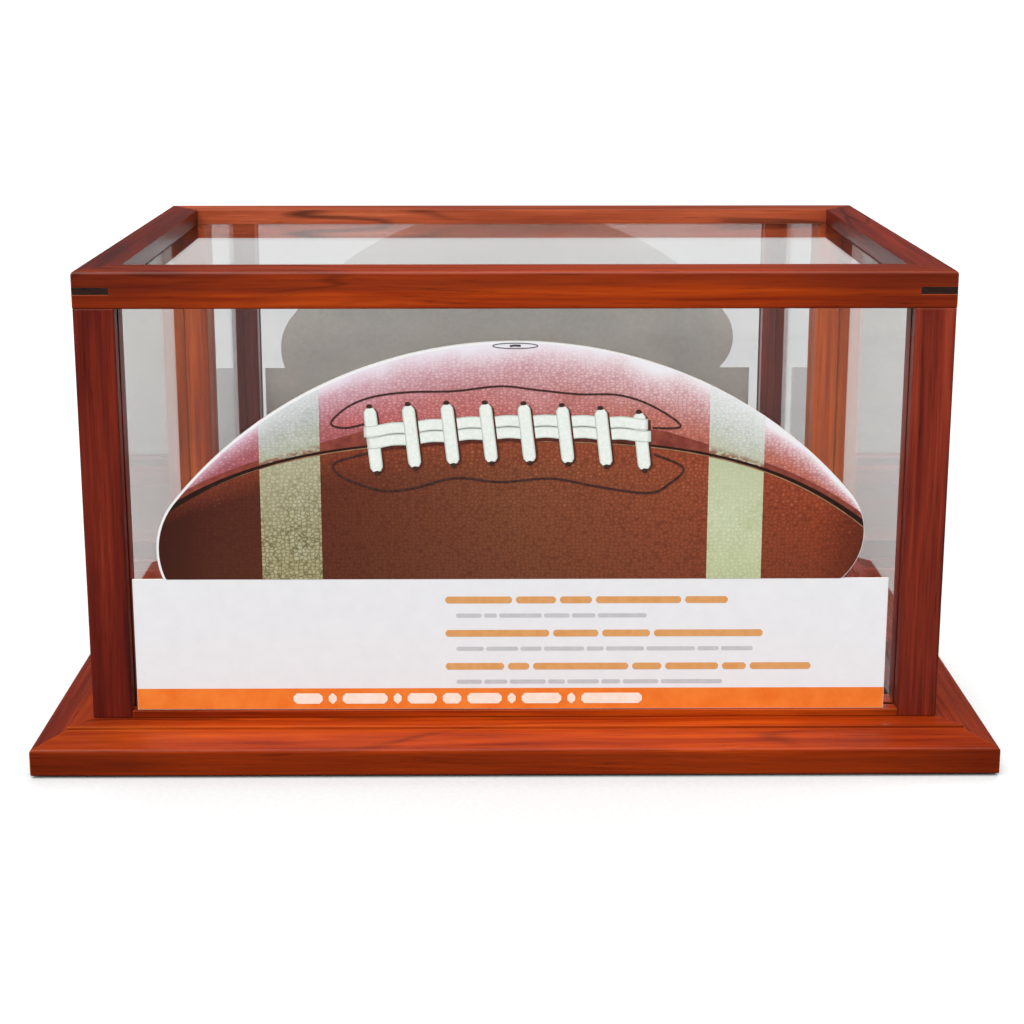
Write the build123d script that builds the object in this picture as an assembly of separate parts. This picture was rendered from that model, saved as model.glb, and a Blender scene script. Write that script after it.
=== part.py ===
"""Football display case: a glazed wooden cover that lifts off a moulded wooden base.

Millimetres. X runs left to right, Y from front to back, Z up from the table.
The origin is on the table, under the middle of the base.
"""

from build123d import *

import math
import os

# ---------------------------------------------------------------- driving dimensions

# Cover, outside
COVER_WIDTH = 320.0
COVER_DEPTH = 193.0
CASE_HEIGHT = 187.0

# Base
OVERHANG = 19.4             # base beyond the cover at the front and the sides, none behind
PAD_HEIGHT = 1.0
BASE_HEIGHT = 14.4
BASE_EDGE_HEIGHT = 10.2     # the vertical outer edge
STEP_HEIGHT = 1.3           # small step between the ledge and the slope
STEP_OUT = 8.2              # the step's distance out from the cover
BASE_INSIDE = 22.0          # how far the front and side mouldings reach in under the cover
BASE_INSIDE_BACK = 24.0
EDGE_ROUND = 1.4
FLOOR_THICKNESS = 3.5
FLOOR_REBATE = 9.0

# Cover woodwork
LIFT_GAP = 0.2              # varnish-thick gap between cover and base
BAR = 15.0                  # front posts and the front and side rails
BACK_BAR = 18.0             # the back frame is heavier, to take the mirror's rebate
TOP_RAIL_HEIGHT = 14.0
BOTTOM_RAIL_HEIGHT = 2.6
BACK_BOTTOM_HEIGHT = 12.0
BAR_ROUND = 0.7
TOP_ROUND = 1.6

# Glass and mirror
GLASS = 3.0
GROOVE = 4.0                # how far each pane reaches into the wood
GLASS_INSET = 4.6           # outer face of the wood to the outer face of a side or front pane
TOP_GLASS_DROP = 6.5        # top of the rails down to the top pane
LOWER_BAR = 9.2             # width left to the front and side top rails below the top pane
BOTTOM_GROOVE = 1.4
MIRROR_INSET = 185.0        # front of the cover to the face of the mirror
MIRROR = 3.0
BACKING = 2.5

# Joinery and small hardware
KEY_LEG = 13.3
KEY_THICKNESS = 2.6
KEY_DROP = 7.4              # top of the rails down to the middle of a key
DOWEL_RADIUS = 2.5
DOWEL_UP = 4.0
DOWEL_DOWN = 12.0
STRIP = 4.0
STRIP_GAP = 0.7
PAD_RADIUS = 6.0
PAD_IN = 16.0
SCREW_HEAD_RADIUS = 2.6
SCREW_RADIUS = 1.2
SCREW_HEAD = 1.6
SCREW_LENGTH = 10.0
POINT_LENGTH = 9.0
POINT_WIDTH = 5.0
POINT_THICKNESS = 0.5
POINT_IN_WOOD = 4.0

# Display card
CARD = 0.8
CARD_INSET = 0.9            # front of the posts to the face of the card
CARD_GAP = 0.2              # card's foot above the bottom rail
CARD_WIDTH = 283.0
CARD_SHIFT = -1.6
PANEL_HEIGHT = 51.8
BALL_ARC = 163.0            # radius of the pictured ball's long upper curve
BALL_TOP = 161.0
BALL_LEFT = 133.6           # how far each end of the ball reaches from the middle
BALL_RIGHT = 130.0
BALL_LEFT_TIP = 30.0        # rounding of the ball's two ends
BALL_RIGHT_TIP = 24.0

# ---------------------------------------------------------------- places worked out from them

BASE_WIDTH = COVER_WIDTH + 2 * OVERHANG
BASE_DEPTH = COVER_DEPTH + OVERHANG

LEFT = -COVER_WIDTH / 2
RIGHT = COVER_WIDTH / 2
BACK = BASE_DEPTH / 2
FRONT = BACK - COVER_DEPTH
BASE_FRONT = -BASE_DEPTH / 2

BASE_BOTTOM = PAD_HEIGHT
LEDGE = BASE_BOTTOM + BASE_HEIGHT
FLOOR_TOP = BASE_BOTTOM + FLOOR_THICKNESS
COVER_BOTTOM = LEDGE + LIFT_GAP
RAIL_BOTTOM = CASE_HEIGHT - TOP_RAIL_HEIGHT
GLASS_FOOT = COVER_BOTTOM + BOTTOM_RAIL_HEIGHT - BOTTOM_GROOVE
TOP_PANE = CASE_HEIGHT - TOP_GLASS_DROP - GLASS
MIRROR_FACE = FRONT + MIRROR_INSET


# ---------------------------------------------------------------- small helpers

def block(low, high):
    """Box between two opposite corners."""
    size = [b - a for a, b in zip(low, high)]
    return Pos(*low) * Box(*size, align=(Align.MIN, Align.MIN, Align.MIN))


def prism(points, low, high):
    """Upright prism on a plan outline, from one height to another."""
    return extrude(Plane.XY.offset(low) * make_face(Polyline(*points, close=True)), high - low)


def cut(wood, pieces):
    """Wood with the room for each piece taken out of it, as one solid."""
    for piece in pieces:
        wood = wood - piece
    return wood.solid()


def eased(bar, radius, low, high):
    """A post with its four upright edges rounded, over one height."""
    upright = [e for e in bar.edges().filter_by(Axis.Z) if e.length > 0.9 * (high - low)]
    return fillet(upright, radius)


def save(name, shape):
    export_step(shape, f"parts/{name}.step")


# Each side of a rectangular frame, anticlockwise from above: the outer edge's direction and
# the direction that points into the case. A section's x points inwards and its y up.
SIDES = {
    "front": ((1, 0, 0), (0, 1, 0)),
    "right": ((0, 1, 0), (-1, 0, 0)),
    "back": ((-1, 0, 0), (0, -1, 0)),
    "left": ((0, -1, 0), (1, 0, 0)),
}


def side_plane(side, outer):
    """Plane across a side's bar, at one end of its outer edge."""
    along, inward = SIDES[side]
    x_low, x_high, y_low, y_high = outer
    start = {
        "front": (x_low, y_low, 0),
        "right": (x_high, y_low, 0),
        "back": (x_high, y_high, 0),
        "left": (x_low, y_high, 0),
    }[side]
    return Plane(origin=start, x_dir=inward, z_dir=along)


def bar_between(side, outer, section, plan):
    """Moulded bar along one side, cut to its outline seen from above."""
    x_low, x_high, y_low, y_high = outer
    length = x_high - x_low if side in ("front", "back") else y_high - y_low
    long_bar = extrude(side_plane(side, outer) * section, length)
    return (long_bar & prism(plan, -1.0, CASE_HEIGHT + 1.0)).solid()


def frame_plan(side, outer, inner):
    """Plan of one side of a frame that is mitred from corner to corner."""
    ox0, ox1, oy0, oy1 = outer
    ix0, ix1, iy0, iy1 = inner
    return {
        "front": [(ox0, oy0), (ox1, oy0), (ix1, iy0), (ix0, iy0)],
        "right": [(ox1, oy0), (ox1, oy1), (ix1, iy1), (ix1, iy0)],
        "back": [(ox1, oy1), (ox0, oy1), (ix0, iy1), (ix1, iy1)],
        "left": [(ox0, oy1), (ox0, oy0), (ix0, iy0), (ix0, iy1)],
    }[side]


# ---------------------------------------------------------------- glass, mirror and small pieces

def glass_panes():
    """Front, left, right and top panes, each reaching into the grooves around it."""
    side_low = FRONT + BAR - GROOVE
    side_high = BACK - BACK_BAR + GROOVE
    upright = (GLASS_FOOT, RAIL_BOTTOM + GROOVE)
    left_x = LEFT + GLASS_INSET
    right_x = RIGHT - GLASS_INSET - GLASS
    top_reach = BAR - GROOVE
    return {
        "glass_front": block(
            (LEFT + top_reach, FRONT + GLASS_INSET, upright[0]),
            (RIGHT - top_reach, FRONT + GLASS_INSET + GLASS, upright[1]),
        ),
        "glass_left": block((left_x, side_low, upright[0]), (left_x + GLASS, side_high, upright[1])),
        "glass_right": block((right_x, side_low, upright[0]), (right_x + GLASS, side_high, upright[1])),
        "glass_top": block(
            (LEFT + top_reach, FRONT + top_reach, TOP_PANE),
            (RIGHT - top_reach, BACK - BACK_BAR + GROOVE, TOP_PANE + GLASS),
        ),
    }


def under_pane():
    """Wood taken off the top rails below the top pane, between the posts. The back rail
    is taken back to the mirror, so that the mirror runs up to the pane."""
    return [
        block((LEFT + BACK_BAR, FRONT + LOWER_BAR, RAIL_BOTTOM), (RIGHT - BACK_BAR, MIRROR_FACE, TOP_PANE)),
        block((LEFT + LOWER_BAR, FRONT + BAR, RAIL_BOTTOM), (RIGHT - LOWER_BAR, BACK - BACK_BAR, TOP_PANE)),
    ]


MIRROR_LEFT = LEFT + BACK_BAR - GROOVE
MIRROR_RIGHT = RIGHT - BACK_BAR + GROOVE
MIRROR_FOOT = COVER_BOTTOM + BACK_BOTTOM_HEIGHT - GROOVE
MIRROR_HEAD = RAIL_BOTTOM + GROOVE


def mirror_layer(front, thickness):
    return block((MIRROR_LEFT, front, MIRROR_FOOT), (MIRROR_RIGHT, front + thickness, MIRROR_HEAD))


def mirror_rebate():
    """The recess for mirror and board, open at the back."""
    return mirror_layer(MIRROR_FACE, BACK - MIRROR_FACE + 1.0)


def glazing_points():
    """Thin tabs driven into the rebate's walls, flat against the backing board."""
    y = MIRROR_FACE + MIRROR + BACKING
    reach = POINT_LENGTH - POINT_IN_WOOD
    half = POINT_WIDTH / 2
    points = []
    for x in (-90.0, 0.0, 90.0):
        for z_low, z_high in (
            (MIRROR_FOOT - POINT_IN_WOOD, MIRROR_FOOT + reach),
            (MIRROR_HEAD - reach, MIRROR_HEAD + POINT_IN_WOOD),
        ):
            points.append(block((x - half, y, z_low), (x + half, y + POINT_THICKNESS, z_high)))
    middle = (MIRROR_FOOT + MIRROR_HEAD) / 2
    for x_low, x_high in (
        (MIRROR_LEFT - POINT_IN_WOOD, MIRROR_LEFT + reach),
        (MIRROR_RIGHT - reach, MIRROR_RIGHT + POINT_IN_WOOD),
    ):
        points.append(block((x_low, y, middle - half), (x_high, y + POINT_THICKNESS, middle + half)))
    return points


def corner_keys():
    """Dark three-cornered slips let into the mitres of the top frame."""
    low = CASE_HEIGHT - KEY_DROP - KEY_THICKNESS / 2
    keys = {}
    for name, x, y, dx, dy in (
        ("front_left", LEFT, FRONT, 1, 1),
        ("front_right", RIGHT, FRONT, -1, 1),
        ("back_left", LEFT, BACK, 1, -1),
        ("back_right", RIGHT, BACK, -1, -1),
    ):
        plan = [(x, y), (x + dx * KEY_LEG, y), (x, y + dy * KEY_LEG)]
        keys[name] = prism(plan, low, low + KEY_THICKNESS).solid()
    return keys


def post_centres():
    """Middle of each post, seen from above."""
    return {
        "front_left": (LEFT + BAR / 2, FRONT + BAR / 2, BAR),
        "front_right": (RIGHT - BAR / 2, FRONT + BAR / 2, BAR),
        "back_left": (LEFT + BACK_BAR / 2, BACK - BACK_BAR / 2, BACK_BAR),
        "back_right": (RIGHT - BACK_BAR / 2, BACK - BACK_BAR / 2, BACK_BAR),
    }


def dowels():
    """Round pins between the posts and the top rails."""
    length = DOWEL_UP + DOWEL_DOWN
    pins = []
    for x, y, _ in post_centres().values():
        pin = Cylinder(DOWEL_RADIUS, length, align=(Align.CENTER, Align.CENTER, Align.MIN))
        pins.append(Pos(x, y, RAIL_BOTTOM - DOWEL_DOWN) * pin)
    return pins


# ---------------------------------------------------------------- cover woodwork

def top_rails(fittings):
    outer = (LEFT, RIGHT, FRONT, BACK)
    inner = (LEFT + BAR, RIGHT - BAR, FRONT + BAR, BACK - BACK_BAR)
    rails = {}
    for side in SIDES:
        width = BACK_BAR if side == "back" else BAR
        section = Pos(width / 2, CASE_HEIGHT - TOP_RAIL_HEIGHT / 2) * Rectangle(width, TOP_RAIL_HEIGHT)
        corners = section.vertices().sort_by(Axis.Y)
        section = fillet(corners[2:].sort_by(Axis.X)[0], TOP_ROUND)
        section = fillet(section.vertices().sort_by(Axis.Y)[:2], BAR_ROUND)
        rail = bar_between(side, outer, section, frame_plan(side, outer, inner))
        rails[side] = cut(rail, fittings)
    return rails


def posts(fittings):
    result = {}
    for name, (x, y, width) in post_centres().items():
        half = width / 2
        bar = block((x - half, y - half, COVER_BOTTOM), (x + half, y + half, RAIL_BOTTOM))
        bar = eased(bar, BAR_ROUND, COVER_BOTTOM, RAIL_BOTTOM)
        result[name] = cut(bar, fittings)
    return result


def bottom_rails(fittings):
    top = COVER_BOTTOM + BOTTOM_RAIL_HEIGHT
    low = (LEFT, FRONT + BAR, COVER_BOTTOM)
    side_end = BACK - BACK_BAR
    bars = {
        "front": block((LEFT + BAR, FRONT, COVER_BOTTOM), (RIGHT - BAR, FRONT + BAR, top)),
        "left": block(low, (LEFT + BAR, side_end, top)),
        "right": block((RIGHT - BAR, FRONT + BAR, COVER_BOTTOM), (RIGHT, side_end, top)),
        "back": block(
            (LEFT + BACK_BAR, side_end, COVER_BOTTOM),
            (RIGHT - BACK_BAR, BACK, COVER_BOTTOM + BACK_BOTTOM_HEIGHT),
        ),
    }
    return {side: cut(bar, fittings) for side, bar in bars.items()}


# ---------------------------------------------------------------- base

BASE_BAR = OVERHANG + BASE_INSIDE


def moulding_section():
    """Outer edge, gentle slope, small step and flat ledge, from outside to inside."""
    step = OVERHANG - STEP_OUT
    outline = [
        (0, BASE_BOTTOM),
        (0, BASE_BOTTOM + BASE_EDGE_HEIGHT),
        (step, LEDGE - STEP_HEIGHT),
        (step, LEDGE),
        (BASE_BAR, LEDGE),
        (BASE_BAR, BASE_BOTTOM),
    ]
    section = make_face(Polyline(*outline, close=True))
    outer = section.vertices().filter_by_position(Axis.X, -0.1, 0.1).sort_by(Axis.Y)
    section = fillet(outer[1], EDGE_ROUND)
    outer = section.vertices().filter_by_position(Axis.X, -0.1, 0.1).sort_by(Axis.Y)
    return fillet(outer[0], EDGE_ROUND / 2)


def floor_panel():
    reach = BASE_INSIDE - FLOOR_REBATE
    return block(
        (LEFT + reach, FRONT + reach, BASE_BOTTOM),
        (RIGHT - reach, BACK - BASE_INSIDE_BACK + FLOOR_REBATE, FLOOR_TOP),
    )


def floor_screws():
    """Countersunk screws, heads flush with the underside, up into the mouldings."""
    in_from_edge = FLOOR_REBATE / 2
    x_side = RIGHT - BASE_INSIDE + in_from_edge
    y_front = FRONT + BASE_INSIDE - in_from_edge
    y_back = BACK - BASE_INSIDE_BACK + in_from_edge
    head = Cone(SCREW_HEAD_RADIUS, SCREW_RADIUS, SCREW_HEAD, align=(Align.CENTER, Align.CENTER, Align.MIN))
    shank = Cylinder(SCREW_RADIUS, SCREW_LENGTH, align=(Align.CENTER, Align.CENTER, Align.MIN))
    screw = head + shank
    places = [(x, y) for y in (y_front, y_back) for x in (-85.0, 85.0)]
    places += [(x, (y_front + y_back) / 2) for x in (-x_side, x_side)]
    return [(Pos(x, y, BASE_BOTTOM) * screw).solid() for x, y in places]


def base_bars(fittings):
    """Front moulding mitred to the side ones, and a plain rail between them at the back."""
    left, right = -BASE_WIDTH / 2, BASE_WIDTH / 2
    inner_left, inner_right = LEFT + BASE_INSIDE, RIGHT - BASE_INSIDE
    inner_front = FRONT + BASE_INSIDE
    outer = (left, right, BASE_FRONT, BACK)
    plans = {
        "front": [(left, BASE_FRONT), (right, BASE_FRONT), (inner_right, inner_front), (inner_left, inner_front)],
        "left": [(left, BASE_FRONT), (inner_left, inner_front), (inner_left, BACK), (left, BACK)],
        "right": [(right, BASE_FRONT), (right, BACK), (inner_right, BACK), (inner_right, inner_front)],
    }
    bars = {side: bar_between(side, outer, moulding_section(), plan) for side, plan in plans.items()}
    bars["back"] = block((inner_left, BACK - BASE_INSIDE_BACK, BASE_BOTTOM), (inner_right, BACK, LEDGE))
    return {side: cut(bar, fittings) for side, bar in bars.items()}


def locating_strips():
    """Low strips just inside the cover's foot, which keep it from sliding."""
    front_y = FRONT + BAR + STRIP_GAP
    back_y = BACK - BACK_BAR - STRIP_GAP
    left_x = LEFT + BAR + STRIP_GAP
    ends = LEFT + BASE_INSIDE + 2.0
    low, high = LEDGE, LEDGE + STRIP
    side_low, side_high = FRONT + BASE_INSIDE, BACK - BASE_INSIDE_BACK
    across = [
        block((ends, front_y, low), (-ends, front_y + STRIP, high)),
        block((ends, back_y - STRIP, low), (-ends, back_y, high)),
    ]
    lengthwise = [
        block((left_x, side_low, low), (left_x + STRIP, side_high, high)),
        block((-left_x - STRIP, side_low, low), (-left_x, side_high, high)),
    ]
    return {"across": across, "lengthwise": lengthwise}


def felt_pads():
    x = BASE_WIDTH / 2 - PAD_IN
    y = BASE_DEPTH / 2 - PAD_IN
    pad = Cylinder(PAD_RADIUS, PAD_HEIGHT, align=(Align.CENTER, Align.CENTER, Align.MIN))
    return [Pos(px, py, 0) * pad for px in (-x, x) for py in (-y, y)]


# ---------------------------------------------------------------- display card

def ball_end(side, reach, tip):
    """Points on one end of the ball's outline: where the long arc meets the end's round, the
    round's farthest point, and where the round passes behind the panel."""
    arc_centre = BALL_TOP - BALL_ARC
    centre_x = reach - tip
    centre_z = arc_centre + math.sqrt((BALL_ARC - tip) ** 2 - centre_x**2)
    stretch = BALL_ARC / (BALL_ARC - tip)
    meet = (side * centre_x * stretch, arc_centre + (centre_z - arc_centre) * stretch)
    foot = -0.8
    return (
        meet,
        (side * reach, centre_z),
        (side * (centre_x + tip * math.sqrt(1 - foot**2)), centre_z + foot * tip),
    )


def card_outline():
    """A football's outline standing on a wide panel, in the X-Z plane."""
    low = COVER_BOTTOM + BOTTOM_RAIL_HEIGHT + CARD_GAP
    panel = Pos(CARD_SHIFT, low + PANEL_HEIGHT / 2) * Rectangle(CARD_WIDTH, PANEL_HEIGHT)
    left = ball_end(-1, BALL_LEFT, BALL_LEFT_TIP)
    right = ball_end(1, BALL_RIGHT, BALL_RIGHT_TIP)
    outline = [
        ThreePointArc(*left),
        ThreePointArc(left[0], (0, BALL_TOP), right[0]),
        ThreePointArc(*right),
        Line(left[2], right[2]),
    ]
    return panel + make_face(outline)


def display_card():
    face = FRONT + CARD_INSET
    plane = Plane(origin=(0, face + CARD, 0), x_dir=(1, 0, 0), z_dir=(0, -1, 0))
    return extrude(plane * card_outline(), CARD).solid()


# ---------------------------------------------------------------- write every piece

def main():
    os.makedirs("parts", exist_ok=True)

    panes = glass_panes()
    keys = corner_keys()
    pins = dowels()
    points = glazing_points()
    fittings = [*panes.values(), mirror_rebate(), *keys.values(), *pins, *points]

    for side, rail in top_rails([*fittings, *under_pane()]).items():
        save(f"top_rail_{side}", rail)
    for name, post in posts(fittings).items():
        save(f"post_{name}", post)
    for side, rail in bottom_rails(fittings).items():
        save(f"bottom_rail_{side}", rail)
    for name, key in keys.items():
        save(f"corner_key_{name}", key)
    for name, pane in panes.items():
        save(name, pane)
    save("mirror_back", mirror_layer(MIRROR_FACE, MIRROR))
    save("backing_board", mirror_layer(MIRROR_FACE + MIRROR, BACKING))
    save("glazing_points", Compound(points))
    save("post_dowels", Compound(pins))

    floor = floor_panel()
    screws = floor_screws()
    for side, bar in base_bars([floor, *screws]).items():
        save(f"base_{side}", bar)
    save("floor_panel", cut(floor, screws))
    save("floor_screws", Compound(screws))
    for name, strips in locating_strips().items():
        save(f"locating_strips_{name}", Compound(strips))
    save("felt_pads", Compound(felt_pads()))

    save("display_card", display_card())


main()
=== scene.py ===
"""The football display case's looks: stained wood, glass, mirror and the printed card."""

import math

import bpy
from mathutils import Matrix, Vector


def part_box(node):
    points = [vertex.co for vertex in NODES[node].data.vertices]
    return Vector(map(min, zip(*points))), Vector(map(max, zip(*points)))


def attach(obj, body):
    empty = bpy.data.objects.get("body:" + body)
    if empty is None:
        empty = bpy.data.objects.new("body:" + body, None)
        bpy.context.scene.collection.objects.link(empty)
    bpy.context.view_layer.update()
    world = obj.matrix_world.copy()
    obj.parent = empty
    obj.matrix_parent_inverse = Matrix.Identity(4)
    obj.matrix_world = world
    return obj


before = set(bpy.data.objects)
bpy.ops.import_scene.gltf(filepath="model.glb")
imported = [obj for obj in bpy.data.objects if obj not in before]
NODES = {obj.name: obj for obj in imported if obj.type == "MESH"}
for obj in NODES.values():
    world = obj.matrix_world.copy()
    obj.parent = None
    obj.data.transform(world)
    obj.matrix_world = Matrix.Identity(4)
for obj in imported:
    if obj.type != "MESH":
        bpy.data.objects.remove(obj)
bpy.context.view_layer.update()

MM = 0.001


# ---------------------------------------------------------------- shader building

def linear(code):
    """A shader colour from a hex code such as "a44a37"."""
    parts = [int(code[i : i + 2], 16) / 255 for i in (0, 2, 4)]
    return (*[c / 12.92 if c <= 0.04045 else ((c + 0.055) / 1.055) ** 2.4 for c in parts], 1.0)


class Paint:
    """A material under construction. Every method returns an output socket."""

    def __init__(self, name):
        self.mat = bpy.data.materials.new(name)
        self.mat.use_nodes = True
        self.tree = self.mat.node_tree
        self.tree.nodes.clear()
        self.out = self.tree.nodes.new("ShaderNodeOutputMaterial")
        self.coords = self.tree.nodes.new("ShaderNodeTexCoord")

    @classmethod
    def on(cls, tree):
        """The same helpers, working on another node tree, emptied first."""
        helper = cls.__new__(cls)
        helper.tree = tree
        tree.nodes.clear()
        return helper

    def add(self, kind, inputs=None, **settings):
        n = self.tree.nodes.new(kind)
        for key, value in settings.items():
            setattr(n, key, value)
        for key, value in (inputs or {}).items():
            self.plug(n.inputs[key], value)
        return n

    def plug(self, socket, value):
        if isinstance(value, bpy.types.NodeSocket):
            self.tree.links.new(value, socket)
        elif value is not None:
            socket.default_value = value

    def object(self):
        return self.coords.outputs["Object"]

    def uv(self):
        return self.coords.outputs["UV"]

    def mapped(self, vector, scale=(1, 1, 1), place=(0, 0, 0), turn=(0, 0, 0)):
        n = self.add(
            "ShaderNodeMapping",
            {"Vector": vector, "Location": place, "Rotation": turn, "Scale": scale},
        )
        return n.outputs[0]

    def axis(self, vector, index):
        return self.add("ShaderNodeSeparateXYZ", {0: vector}).outputs[index]

    def math(self, operation, a, b=None, clamp=False):
        return self.add("ShaderNodeMath", {0: a, 1: b}, operation=operation, use_clamp=clamp).outputs[0]

    def noise(self, vector, scale, detail=3.0, roughness=0.55, distortion=0.0):
        n = self.add(
            "ShaderNodeTexNoise",
            {
                "Vector": vector,
                "Scale": scale,
                "Detail": detail,
                "Roughness": roughness,
                "Distortion": distortion,
            },
        )
        return n.outputs["Fac"]

    def cells(self, vector, scale, feature="DISTANCE_TO_EDGE", randomness=1.0):
        n = self.add(
            "ShaderNodeTexVoronoi",
            {"Vector": vector, "Scale": scale, "Randomness": randomness},
            feature=feature,
        )
        return n.outputs["Distance"]

    def span(self, value, low, high, to_low=0.0, to_high=1.0, smooth=False):
        n = self.add(
            "ShaderNodeMapRange",
            {"Value": value, "From Min": low, "From Max": high, "To Min": to_low, "To Max": to_high},
            interpolation_type="SMOOTHSTEP" if smooth else "LINEAR",
        )
        return n.outputs[0]

    def ramp(self, value, stops):
        n = self.add("ShaderNodeValToRGB", {"Fac": value})
        band = n.color_ramp
        while len(band.elements) < len(stops):
            band.elements.new(0.5)
        for element, (place, code) in zip(band.elements, stops):
            element.position = place
            element.color = linear(code)
        return n.outputs["Color"]

    def mix(self, share, a, b, blend="MIX"):
        n = self.add("ShaderNodeMix", data_type="RGBA", blend_type=blend)
        self.plug(n.inputs[0], share)
        self.plug(n.inputs[6], a)
        self.plug(n.inputs[7], b)
        return n.outputs[2]

    def bump(self, height, distance, strength=1.0, normal=None):
        n = self.add(
            "ShaderNodeBump",
            {"Height": height, "Distance": distance, "Strength": strength, "Normal": normal},
        )
        return n.outputs[0]

    def edges(self, radius):
        """1 on a rounded-over edge and 0 on a flat face."""
        soft = self.add("ShaderNodeBevel", {"Radius": radius}, samples=6).outputs[0]
        true = self.add("ShaderNodeNewGeometry").outputs["Normal"]
        dot = self.add("ShaderNodeVectorMath", {0: soft, 1: true}, operation="DOT_PRODUCT").outputs["Value"]
        return self.span(dot, 0.99, 0.8, smooth=True)

    def finish(self, colour, roughness, normal=None, **extra):
        shader = self.add(
            "ShaderNodeBsdfPrincipled",
            {"Base Color": colour, "Roughness": roughness, "Normal": normal},
        )
        for key, value in extra.items():
            shader.inputs[key.replace("_", " ")].default_value = value
        self.plug(self.out.inputs["Surface"], shader.outputs[0])
        return self.mat


# ---------------------------------------------------------------- materials

# Turns the grain, which runs along X in the texture, to run along each row axis.
GRAIN_TURN = {"x": (0, 0, 0), "y": (0, 0, math.radians(90)), "z": (0, math.radians(90), 0)}


def stained_wood(name, grain, stops, seed, gloss=0.3, shine=0.26, coat=0.1, band=None, far=None):
    """Mahogany-stained hardwood under lacquer, its grain along one row axis.

    stops are the stain's colours from dark to light. band is (row axis index, where it ends,
    where it is full, colour code) for painted shade on one side of a wandering line. far is how
    far from the middle, along X, painted shade starts to darken the wood and where it is darkest.
    """
    p = Paint(name)
    where = p.mapped(p.object(), turn=GRAIN_TURN[grain], place=(seed, seed * 1.7, seed * 0.6))
    drift = p.noise(p.mapped(where, (3, 11, 11)), 1.0, 2.0)
    sway = p.add("ShaderNodeVectorMath", {0: where}, operation="ADD")
    shift = p.add(
        "ShaderNodeCombineXYZ",
        {"Y": p.span(drift, 0, 1, -0.009, 0.009), "Z": p.span(drift, 0, 1, 0.006, -0.006)},
    )
    p.plug(sway.inputs[1], shift.outputs[0])
    where = sway.outputs[0]

    figure = p.noise(p.mapped(where, (3, 70, 70)), 1.0, 4.0, 0.6, 0.4)
    streaks = p.noise(p.mapped(where, (9, 420, 420)), 1.0, 4.0, 0.65)
    fibres = p.noise(p.mapped(where, (45, 1700, 1700)), 1.0, 3.0, 0.6)
    blotches = p.noise(p.mapped(where, (7, 20, 20)), 1.0, 2.0, 0.5)

    tone = p.math("MULTIPLY", figure, 0.5)
    tone = p.math("ADD", tone, p.math("MULTIPLY", streaks, 0.42))
    tone = p.math("ADD", tone, p.math("MULTIPLY", blotches, 0.28))
    tone = p.span(tone, 0.38, 0.82)
    colour = p.ramp(tone, stops)
    # painted shade: darker wood on one side of a wandering line
    if band:
        index, ends, full, code = band
        wander = p.noise(p.mapped(where, (6, 24, 24)), 1.0, 2.0)
        width = abs(full - ends)
        line = p.math("ADD", p.axis(p.object(), index), p.span(wander, 0.3, 0.7, -width, width))
        share = p.span(line, ends, full, 0.0, 0.8, smooth=True)
        colour = p.mix(share, colour, p.mix(streaks, linear(code), stops_middle(stops)))
    heart = p.noise(p.mapped(where, (4.5, 38, 38)), 1.0, 2.0, 0.5, 0.6)
    heart = p.span(p.math("ABSOLUTE", p.math("SUBTRACT", heart, 0.5)), 0.026, 0.0, smooth=True)
    heart = p.math("MULTIPLY", heart, p.span(blotches, 0.5, 0.66))
    colour = p.mix(p.math("MULTIPLY", heart, 0.78), colour, linear("240804"))
    # painted shade: the wood darkens towards both ends along X
    if far:
        away = p.math("ABSOLUTE", p.axis(p.object(), 0))
        away = p.math("ADD", away, p.span(blotches, 0.3, 0.7, -0.015, 0.015))
        colour = p.mix(p.span(away, *far, 0.0, 0.5, smooth=True), colour, linear("4a1208"))
    pores = p.span(fibres, 0.36, 0.30, smooth=True)
    fine = p.span(fibres, 0.3, 0.7, 0.86, 1.12)
    shade = p.add("ShaderNodeCombineColor", {0: fine, 1: fine, 2: fine}).outputs[0]
    colour = p.mix(1.0, colour, shade, "MULTIPLY")
    colour = p.mix(p.math("MULTIPLY", pores, 0.45), colour, linear("1c0604"))
    # lighter on rounded edges: partly real wear, partly a painted highlight
    worn = p.math("MULTIPLY", p.edges(0.7 * MM), p.span(blotches, 0.35, 0.7, 0.15, 0.5))
    colour = p.mix(worn, colour, stops_top(stops))

    height = p.math("ADD", p.math("MULTIPLY", fibres, 0.5), p.math("MULTIPLY", streaks, 0.5))
    peel = p.noise(p.object(), 260, 2.0)
    rounded = p.add("ShaderNodeBevel", {"Radius": 0.5 * MM}, samples=6).outputs[0]
    normal = p.bump(height, 0.05 * MM, 0.5, rounded)
    normal = p.bump(peel, 0.12 * MM, 0.25, normal)
    roughness = p.span(blotches, 0.3, 0.7, gloss - 0.06, gloss + 0.1)
    return p.finish(
        colour, roughness, normal,
        Coat_Weight=coat, Coat_Roughness=0.14, Coat_IOR=1.45, Specular_IOR_Level=shine,
    )


def stops_top(stops):
    return linear(stops[-1][1])


def stops_middle(stops):
    return linear(stops[len(stops) // 2][1])


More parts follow.
